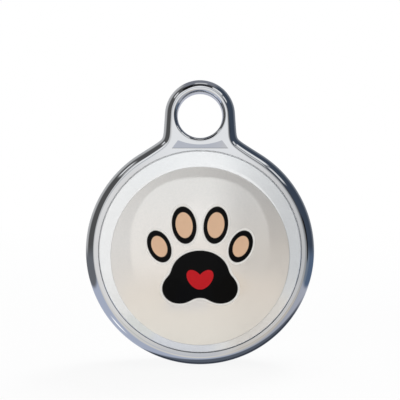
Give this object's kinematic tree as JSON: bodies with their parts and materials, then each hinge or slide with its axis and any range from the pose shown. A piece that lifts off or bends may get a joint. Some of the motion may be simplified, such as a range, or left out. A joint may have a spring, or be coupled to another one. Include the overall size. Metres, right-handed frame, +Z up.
{
  "type": "pet tracker tag",
  "caption": "Round pet tracker tag: polished ring frame with a collar loop, a domed white face that presses as a button, and a twist-off battery door at the back.",
  "frame": {"origin": "middle of the collar loop's hole, half way through the frame", "axes": "+Z up from the face to the loop, -Y out of the face along the loop's hole, +X to the right seen from the front"},
  "size_m": [0.036, 0.0095, 0.0448],
  "materials": {
    "chrome_plate": "polished",
    "face_plastic": "gloss",
    "printed_resin": "gloss",
    "shell_plastic": "satin",
    "silicone": "matte",
    "board_laminate": "satin",
    "chip_epoxy": "matte",
    "antenna_ceramic": "satin",
    "capacitor_ceramic": "satin",
    "ferrite": "matte",
    "tantalum_resin": "matte",
    "can_steel": "satin",
    "contact_gilt": "satin",
    "switch_nylon": "satin",
    "cell_gasket_plastic": "satin",
    "cell_mix": "matte",
    "pad_foam": "matte"
  },
  "bodies": {
    "tag_body": {"chrome_frame": "chrome_plate", "rear_shell": "shell_plastic", "rear_seal": "silicone", "circuit_board": "board_laminate", "board_screws": "can_steel", "radio_chip": "chip_epoxy", "positioning_chip": "chip_epoxy", "crystals": "can_steel", "radio_antenna": "antenna_ceramic", "positioning_antenna": "antenna_ceramic", "chip_capacitors": "capacitor_ceramic", "power_inductors": "ferrite", "reserve_capacitor": "tantalum_resin", "sounder": "chip_epoxy", "switch_base": "chip_epoxy", "switch_cover": "can_steel", "negative_contact": "contact_gilt", "positive_contacts": "contact_gilt", "cell_can": "can_steel", "cell_lid": "can_steel", "cell_gasket": "cell_gasket_plastic", "cell_filling": "cell_mix"},
    "face_button": {"front_cap": "face_plastic", "dome_label": "printed_resin", "face_seal": "silicone"},
    "switch_button": {"switch_plunger": "switch_nylon"},
    "battery_door": {"battery_door": "shell_plastic", "door_seal": "silicone", "cell_cushion": "pad_foam"}
  },
  "joints": [
    {"name": "face_press", "type": "slide", "parent": "tag_body", "child": "face_button", "axis": [0, 1, 0], "range_m": [0, 0.0003], "stiffness_N_per_m": 4000},
    {"name": "plunger_press", "type": "slide", "parent": "tag_body", "child": "switch_button", "axis": [0, 1, 0], "range_m": [0, 0.0003]},
    {"name": "battery_door_twist", "type": "hinge", "parent": "tag_body", "child": "battery_door", "pos_m": [0, 0.0045, -0.02135], "axis": [0, 1, 0], "range_deg": [0, 40]}
  ],
  "couplings": [
    {"joint": "plunger_press", "follows": "face_press", "ratio": 1}
  ]
}
